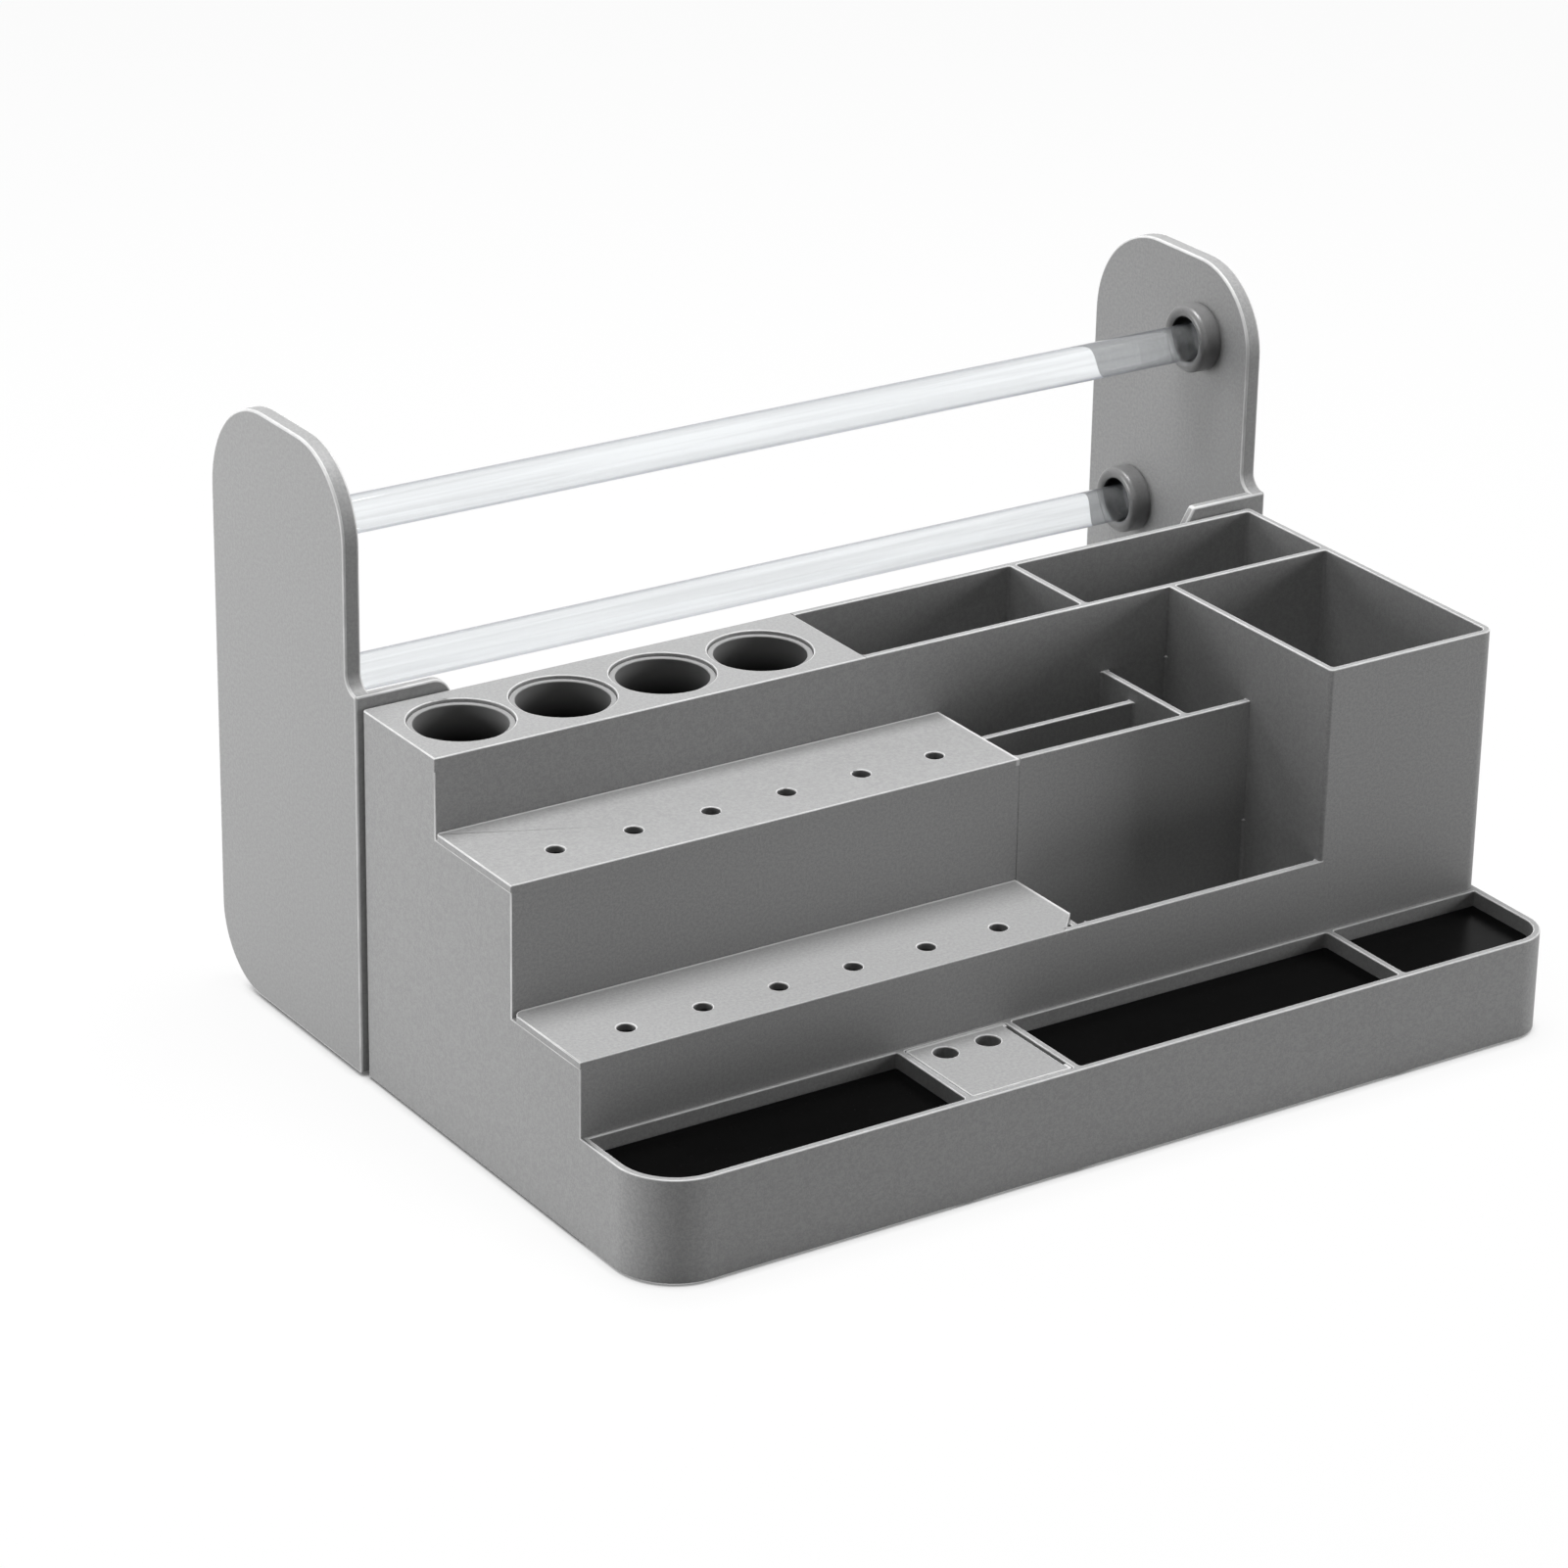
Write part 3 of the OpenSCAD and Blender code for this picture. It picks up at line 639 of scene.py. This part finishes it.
class HolderLooks(bpy.types.PropertyGroup):
    """Colours and edge sizes of the holder."""

    grey: bpy.props.FloatProperty(
        name="Plastic grey",
        description="Brightness of the moulded plastic",
        default=0.30,
        min=0.05,
        max=0.9,
    )
    cup_grey: bpy.props.FloatProperty(
        name="Cup grey",
        description="Brightness of the four cups",
        default=0.27,
        min=0.02,
        max=0.9,
    )
    collar_grey: bpy.props.FloatProperty(
        name="Collar grey",
        description="Brightness of the rod collars",
        default=0.15,
        min=0.02,
        max=0.9,
    )
    rod_tint: bpy.props.FloatProperty(
        name="Rod tint",
        description="How blue the clear rods are",
        default=0.04,
        min=0.0,
        max=0.3,
    )
    bin_width: bpy.props.FloatProperty(
        name="Bin width",
        description="Outside width of the deep bin at the right",
        default=0.059,
        min=0.02,
        max=0.12,
        unit="LENGTH",
    )
    bin_corner: bpy.props.FloatProperty(
        name="Bin corner",
        description="Radius of the front right corner of the deep bin",
        default=0.004,
        min=0.001,
        max=0.01,
        unit="LENGTH",
    )
    corner: bpy.props.FloatProperty(
        name="Upright corner",
        description="Radius of the bin's front left corner",
        default=0.0012,
        min=0.0004,
        max=0.003,
        unit="LENGTH",
    )
    # Width of the painted highlight band along a plate's back and right end.
    lip: bpy.props.FloatProperty(
        name="Plate lip",
        description="Width of the paler band at the back and right end of a plate",
        default=0.0009,
        min=0.0,
        max=0.002,
        unit="LENGTH",
    )
    edge: bpy.props.FloatProperty(
        name="Rim rounding",
        description="Radius of the moulded rims",
        default=0.00035,
        min=0.0001,
        max=0.0008,
        unit="LENGTH",
    )
    frame_edge: bpy.props.FloatProperty(
        name="Stand edge rounding",
        description="Radius along the end frames of the reel stand",
        default=0.0007,
        min=0.0001,
        max=0.0012,
        unit="LENGTH",
    )
    head: bpy.props.FloatProperty(
        name="Screw head height",
        description="Height of the pan heads inside the reel tray",
        default=0.002,
        min=0.001,
        max=0.004,
        unit="LENGTH",
    )
    shank: bpy.props.FloatProperty(
        name="Screw shank radius",
        description="Radius of the screws under their heads",
        default=0.0015,
        min=0.001,
        max=0.003,
        unit="LENGTH",
    )


class StageLooks(bpy.types.PropertyGroup):
    """Light around the holder."""

    sky: bpy.props.FloatProperty(
        name="Sky",
        description="Strength of the plain world light",
        default=0.05,
        min=0.0,
        max=2.0,
    )
    top: bpy.props.FloatProperty(
        name="Top light",
        description="Soft lamp overhead",
        default=31.0,
        min=0.0,
        max=400.0,
        unit="POWER",
    )
    side: bpy.props.FloatProperty(
        name="Side light",
        description="Lamp low at the left",
        default=8.0,
        min=0.0,
        max=400.0,
        unit="POWER",
    )
    front: bpy.props.FloatProperty(
        name="Front light",
        description="Lamp low at the front right",
        default=10.0,
        min=0.0,
        max=400.0,
        unit="POWER",
    )
    floor: bpy.props.FloatProperty(
        name="Floor grey",
        description="How much light the floor throws back",
        default=0.42,
        min=0.0,
        max=0.9,
    )
    veil: bpy.props.FloatProperty(
        name="Floor whiteness",
        description="How white the floor looks in the picture",
        default=0.86,
        min=0.0,
        max=1.0,
    )


class DRIVERHOLDER_OT_body(bpy.types.Operator):
    """Makes the stepped moulding with its soft rims"""

    bl_idname = "driverholder.body"
    bl_label = "Stepped body"

    def execute(self, context):
        low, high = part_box("housing")
        deck_low, deck_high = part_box("cup_deck")
        seats = [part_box(node) for node in ("upper_rack_plate", "lower_rack_plate")]
        # The edges along the foot of the walls and round the deck's seat stay sharp
        foot = low.z + 0.0022
        deck_end, deck_under = deck_high.x + 0.0002, deck_low.z - 0.002
        # So do the upright edges at both corners of the right end of a plate's seat
        seat_ends = [(b.x, a.y + 0.002) for a, b in seats] + [(b.x, b.y) for a, b in seats]

        def at_seat_end(middle):
            for x, y in seat_ends:
                if -0.0002 < middle.x - x < 0.0014 and abs(middle.y - y) < 0.0013:
                    return True
            return False

        def under_plate(middle):
            # A soft edge here would draw a bright line below the plate's front
            for a, b in seats:
                level = abs(middle.z - a.z) < SEAT_SLACK
                if level and middle.x < b.x + SEAT_SLACK and middle.y < a.y + 0.001:
                    return True
            return False

        def wanted(middle, edge):
            if min(v.co.z for v in edge.verts) < foot:
                return False
            if at_seat_end(middle) or under_plate(middle):
                return False
            return middle.x > deck_end or middle.z < deck_under

        looks = context.scene.holder_looks
        step_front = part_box("lower_rack_plate")[0].y
        bin_left = high.x - looks.bin_width
        lines = (
            ((bin_left + looks.corner, 0, 0), (1, 0, 0)),
            ((0, step_front + looks.bin_corner, 0), (0, 1, 0)),
        )
        width = looks.edge
        dress("housing", "stepped_body", "organizer", "body", width, wanted, lines)
        return {"FINISHED"}


class DRIVERHOLDER_OT_plates(bpy.types.Operator):
    """Makes the cup deck, the two rack plates and the loose bit plate"""

    bl_idname = "driverholder.plates"
    bl_label = "Deck and plates"

    def execute(self, context):
        width = context.scene.holder_looks.edge
        plates = (
            ("cup_deck", "deck", "organizer", "body"),
            ("upper_rack_plate", "upper_rack_plate_piece", "organizer", "upper_rack_plate"),
            ("lower_rack_plate", "lower_rack_plate_piece", "organizer", "lower_rack_plate"),
            ("bit_plate", "loose_bit_plate", "bit_holder", "bit_plate"),
        )
        for node, name, body, key in plates:
            dress(node, name, body, key, width, top_only(node))
        return {"FINISHED"}


class DRIVERHOLDER_OT_cups(bpy.types.Operator):
    """Turns the four driver cups with their rims"""

    bl_idname = "driverholder.cups"
    bl_label = "Driver cups"

    def execute(self, context):
        rim_height, rim_over, rim_round = 0.0015, 0.0008, 0.0004
        wall, base, base_round, ring_gap = 0.0009, 0.002, 0.0012, 0.03
        for i in range(1, 5):
            node = f"driver_cup_{i}"
            low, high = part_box(node)
            rim = (high.x - low.x) / 2
            tube = rim - rim_over
            bore = tube - wall
            foot, top = low.z, high.z
            profile = [(0.0, foot), (tube - base_round, foot), (tube, foot + base_round)]
            profile += [(tube, top - rim_height), (rim, top - rim_height)]
            profile += quarter((rim - rim_round, top - rim_round), rim_round, 0)
            profile += quarter((bore + rim_round, top - rim_round), rim_round, 90)
            profile += [(bore, top - ring_gap), (bore, top - 2 * ring_gap)]
            inner = quarter((bore - base_round, foot + base + base_round), base_round, 270)
            profile += inner[::-1] + [(0.0, foot + base)]
            centre = ((low.x + high.x) / 2, (low.y + high.y) / 2, 0)
            bm = turned(profile, (0, 0, 1), centre)
            hand_over(close_mesh(bm, f"cup_{i}", finish("cup"), 30.0), node, "organizer")
        return {"FINISHED"}


class DRIVERHOLDER_OT_pads(bpy.types.Operator):
    """Makes the three black pads of the front tray"""

    bl_idname = "driverholder.pads"
    bl_label = "Tray pads"

    def execute(self, context):
        width = 0.0003
        for side in ("left", "middle", "right"):
            node = f"tray_pad_{side}"
            dress(node, f"{side}_pad", "organizer", "pad", width, top_only(node))
        return {"FINISHED"}


class DRIVERHOLDER_OT_stand(bpy.types.Operator):
    """Makes the two end frames and the low tray of the reel stand"""

    bl_idname = "driverholder.stand"
    bl_label = "Reel stand"

    def execute(self, context):
        looks = context.scene.holder_looks
        width, shortest, reach = looks.frame_edge, 0.0004, 0.06
        for side in ("left", "right"):
            node = f"end_frame_{side}"
            low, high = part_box(node)
            outer = low.x if side == "left" else high.x

            def wanted(middle, edge):
                return edge.calc_length() > shortest and abs(middle.x - outer) < reach

            dress(node, f"{side}_end_frame", "reel_stand", "frame", width, wanted)
        rims = top_only("reel_tray")
        dress("reel_tray", "reel_trough", "reel_stand", "frame", looks.edge, rims)
        return {"FINISHED"}


class DRIVERHOLDER_OT_collars(bpy.types.Operator):
    """Turns the four round-faced rod collars"""

    bl_idname = "driverholder.collars"
    bl_label = "Rod collars"

    def execute(self, context):
        wall, spigot_wall, spigot, bevel = 0.00365, 0.0015, 0.003, 0.0003
        nose, bore_slack = wall / 2, 0.0004
        for level in ("upper", "lower"):
            for side, way in (("left", 1), ("right", -1)):
                node = f"{level}_{side}_collar"
                low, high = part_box(node)
                centre = (low.x if way > 0 else high.x, (low.y + high.y) / 2, (low.z + high.z) / 2)
                outer = (high.z - low.z) / 2
                bore = outer - wall
                length = high.x - low.x
                profile = [(bore, 0.0), (bore + spigot_wall, 0.0), (bore + spigot_wall, spigot)]
                profile += [(outer - bevel, spigot), (outer, spigot + bevel)]
                profile += quarter((bore + nose, length - nose), nose, 0, 8)
                profile += quarter((bore + nose, length - nose), nose, 90, 8)[1:]
                bm = turned(profile, (way, 0, 0), centre)
                # The bore mark tells the collar material where to paint its shade.
                mark = bm.faces.layers.float.new("bore")
                for face in bm.faces:
                    out = face.calc_center_median() - Vector(centre)
                    face[mark] = 1.0 if math.hypot(out.y, out.z) < bore + bore_slack else 0.0
                piece = close_mesh(bm, f"{level}_{side}_bush", finish("collar"), 40.0)
                hand_over(piece, node, "reel_stand")
        return {"FINISHED"}


class DRIVERHOLDER_OT_rods(bpy.types.Operator):
    """Turns the two clear rods"""

    bl_idname = "driverholder.rods"
    bl_label = "Clear rods"

    def execute(self, context):
        soft = 0.0006
        for level, body in (("upper", "high_rod"), ("lower", "low_rod")):
            node = f"{level}_rod"
            low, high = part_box(node)
            radius = (high.z - low.z) / 2
            length = high.x - low.x
            profile = [(0.0, 0.0)] + quarter((radius - soft, soft), soft, 270)
            profile += [(radius, length * k / 6) for k in range(1, 6)]
            profile += quarter((radius - soft, length - soft), soft, 0) + [(0.0, length)]
            centre = (low.x, (low.y + high.y) / 2, (low.z + high.z) / 2)
            bm = turned(profile, (1, 0, 0), centre)
            hand_over(close_mesh(bm, f"clear_{node}", finish("rod"), 40.0), node, body)
        return {"FINISHED"}


class DRIVERHOLDER_OT_feet(bpy.types.Operator):
    """Puts a dished rubber foot on every place for one"""

    bl_idname = "driverholder.feet"
    bl_label = "Rubber feet"

    def execute(self, context):
        soft = 0.0005
        tree = FastenerTree("rubber_foot", {"Radius": 0.0065, "Height": 0.0016, "Bevel": soft})
        radius, height, bevel = tree.size("Radius"), tree.size("Height"), tree.size("Bevel")
        dish, floor = height * 0.2, height * 0.0
        profile = [(radius * 0.5, dish), (radius * 0.62, floor), (radius - bevel, floor)]
        profile += [(radius - bevel * 0.3, bevel * 0.3), (radius, bevel), (radius, height)]
        tree.place(tree.turn(profile, 48), finish("rubber"))
        for node, body in (("housing_feet", "organizer"), ("stand_feet", "reel_stand")):
            boxes = separate_boxes(node)
            points = [((low.x + high.x) / 2, (low.y + high.y) / 2, low.z) for low, high in boxes]
            low, high = boxes[0]
            sizes = {"Radius": (high.x - low.x) / 2, "Height": high.z - low.z, "Bevel": soft}
            hand_over(tree.run(points, node + "_set", sizes), node, body)
        return {"FINISHED"}


class DRIVERHOLDER_OT_screws(bpy.types.Operator):
    """Drives the cross-headed screws from inside the reel tray"""

    bl_idname = "driverholder.screws"
    bl_label = "Stand screws"

    def execute(self, context):
        looks = context.scene.holder_looks
        boxes = separate_boxes("stand_screws")
        low, high = boxes[0]
        sizes = {
            "Head radius": (high.z - low.z) / 2,
            "Head height": looks.head,
            "Shank radius": looks.shank,
            "Length": high.x - low.x - looks.head,
        }
        tree = FastenerTree("pan_screw", sizes)
        head, height = tree.size("Head radius"), tree.size("Head height")
        shank, length = tree.size("Shank radius"), tree.size("Length")
        tip = shank * 0.27
        crown = ((0.45, -1.0), (0.72, -0.93), (0.88, -0.76), (0.97, -0.48), (1.0, -0.2), (1.0, 0.0))
        profile = [(head * out, height * up) for out, up in crown]
        profile += [(shank, height * 0.0), (shank, length - tip), (shank - tip, length)]
        solid = tree.turn(profile, 40)
        # Two crossed slots
        for wide, deep in ((1.1, 0.17), (0.17, 1.1)):
            size = tree.add(
                "ShaderNodeCombineXYZ", None, {0: head * wide, 1: head * deep, 2: height * 1.1}
            )
            blade = tree.add("GeometryNodeMeshCube", None, {"Size": size.outputs[0]})
            solid = tree.cut(solid, tree.shift(blade, height * -1.0))
        place = tree.add("GeometryNodeInputPosition").outputs[0]
        side = tree.add("ShaderNodeSeparateXYZ", None, {0: place}).outputs["X"]
        lean = Value(tree, side).sign() * (math.pi / 2)
        turn = tree.add("ShaderNodeCombineXYZ", None, {"Y": lean})
        tree.place(solid, finish("screw"), turn.outputs[0])
        points = []
        for low, high in boxes:
            seat = low.x + looks.head if low.x > 0 else high.x - looks.head
            points.append((seat, (low.y + high.y) / 2, (low.z + high.z) / 2))
        piece = tree.run(points, "screw_set", sizes)
        hand_over(piece, "stand_screws", "reel_stand")
        return {"FINISHED"}


class DRIVERHOLDER_OT_stage(bpy.types.Operator):
    """Sets the floor, the light and the camera"""

    bl_idname = "driverholder.stage"
    bl_label = "Stage"

    def execute(self, context):
        looks, scene = context.scene.stage_looks, context.scene
        scene.view_settings.view_transform = "Standard"
        self.floor(scene, looks)
        self.sky(scene, looks)
        middle = (0, 0, 0.05)
        self.lamp(scene, "overhead", looks.top, 0.8, (0.05, 0.15, 1.5), middle)
        self.lamp(scene, "left_side", looks.side, 0.5, (-0.9, 0.42, 0.14), middle)
        self.lamp(scene, "front_right", looks.front, 0.6, (1.45, -0.95, 0.42), middle)
        self.camera(scene)
        return {"FINISHED"}

    def rays(self, tree):
        """1 where the camera, a mirror or a clear piece looks, and 0 for the light itself."""
        path = tree.add("ShaderNodeLightPath")
        camera, mirror, clear = (
            Value(tree, path.outputs[f"Is {kind} Ray"])
            for kind in ("Camera", "Glossy", "Transmission")
        )
        return (camera + mirror + clear).at_most(1.0)

    def floor(self, scene, looks):
        """A wide bench top that looks white and is a little darker where a piece stands."""
        mesh = bpy.data.meshes.new("bench_top")
        half = 6.0
        corners = [(-half, -half, 0), (half, -half, 0), (half, half, 0), (-half, half, 0)]
        mesh.from_pydata(corners, [], [(0, 1, 2, 3)])
        floor = bpy.data.objects.new("bench_top", mesh)
        scene.collection.objects.link(floor)
        recipe = Recipe("bench_white")
        recipe.look(Base_Color=tone(looks.floor), Roughness=0.9, Specular_IOR_Level=0.0)
        glow = recipe.add("ShaderNodeEmission", None, {"Color": tone(1.0), "Strength": 1.07})
        near = recipe.add("ShaderNodeAmbientOcclusion", {"samples": 8}, {"Distance": 0.006})
        clear = recipe.band(Value(recipe, near.outputs["AO"]), 0.1, 0.75)
        veil = self.rays(recipe) * looks.veil * clear
        mix = recipe.add(
            "ShaderNodeMixShader",
            None,
            {0: veil, 1: recipe.surface.outputs[0], 2: glow.outputs[0]},
        )
        recipe.join(recipe.output.inputs["Surface"], mix.outputs[0])
        mesh.materials.append(recipe.material)

    def sky(self, scene, looks):
        """A world that looks white and gives only a little light."""
        scene.world = bpy.data.worlds.new("studio")
        scene.world.use_nodes = True
        tree = Tree(scene.world.node_tree)
        dim = tree.add("ShaderNodeBackground", None, {"Color": tone(1.0), "Strength": looks.sky})
        white = tree.add("ShaderNodeBackground", None, {"Color": tone(1.0), "Strength": 1.0})
        mix = tree.add(
            "ShaderNodeMixShader",
            None,
            {0: self.rays(tree), 1: dim.outputs[0], 2: white.outputs[0]},
        )
        tree.add("ShaderNodeOutputWorld", None, {"Surface": mix.outputs[0]})

    def lamp(self, scene, name, power, size, place, target):
        """A square lamp that faces a target."""
        light = bpy.data.lights.new(name, "AREA")
        light.shape = "SQUARE"
        light.size = size
        light.energy = power
        holder = bpy.data.objects.new(name, light)
        holder.location = place
        aim = Vector(target) - Vector(place)
        holder.rotation_euler = aim.to_track_quat("-Z", "Y").to_euler()
        scene.collection.objects.link(holder)

    def camera(self, scene):
        """A camera in the photographer's place."""
        lens = bpy.data.cameras.new("bench_view")
        lens.sensor_fit = "HORIZONTAL"
        lens.sensor_width = 36.0
        lens.lens = lens.sensor_width * FOCAL_LENGTH / PICTURE_WIDTH
        lens.clip_start = 0.05
        lens.clip_end = 50.0
        camera = bpy.data.objects.new("bench_view", lens)
        right = Vector((0.83633006, -0.54798139, 0.01638387))
        down = Vector((-0.20626555, -0.34221097, -0.91670397))
        ahead = Vector((0.50794345, 0.76328764, -0.39923100))
        turn = Matrix((right, -down, -ahead)).transposed()
        camera.matrix_world = Matrix.Translation((-0.80945, -1.15838, 0.68170)) @ turn.to_4x4()
        scene.collection.objects.link(camera)
        scene.camera = camera


class DRIVERHOLDER_PT_panel(bpy.types.Panel):
    """Lists the steps that dress the holder"""

    bl_idname = "DRIVERHOLDER_PT_panel"
    bl_label = "Driver holder"
    bl_space_type = "VIEW_3D"
    bl_region_type = "UI"
    bl_category = "Driver holder"

    def draw(self, context):
        """All sizes and colours first, then the steps in their order."""
        for looks in (context.scene.holder_looks, context.scene.stage_looks):
            for name in looks.__annotations__:
                self.layout.prop(looks, name)
        for step in STEPS:
            self.layout.operator(step.bl_idname)


STEPS = (
    DRIVERHOLDER_OT_body,
    DRIVERHOLDER_OT_plates,
    DRIVERHOLDER_OT_cups,
    DRIVERHOLDER_OT_pads,
    DRIVERHOLDER_OT_stand,
    DRIVERHOLDER_OT_collars,
    DRIVERHOLDER_OT_rods,
    DRIVERHOLDER_OT_feet,
    DRIVERHOLDER_OT_screws,
    DRIVERHOLDER_OT_stage,
)
CLASSES = (HolderLooks, StageLooks) + STEPS + (DRIVERHOLDER_PT_panel,)


def register():
    """Adds the operators, the panel and the settings."""
    for cls in CLASSES:
        bpy.utils.register_class(cls)
    bpy.types.Scene.holder_looks = bpy.props.PointerProperty(type=HolderLooks)
    bpy.types.Scene.stage_looks = bpy.props.PointerProperty(type=StageLooks)


def unregister():
    """Takes out what register() added."""
    del bpy.types.Scene.stage_looks
    del bpy.types.Scene.holder_looks
    for cls in reversed(CLASSES):
        bpy.utils.unregister_class(cls)


def main():
    """Runs every step."""
    register()
    for step in STEPS:
        group, name = step.bl_idname.split(".")
        getattr(getattr(bpy.ops, group), name)()


if __name__ == "__main__":
    main()
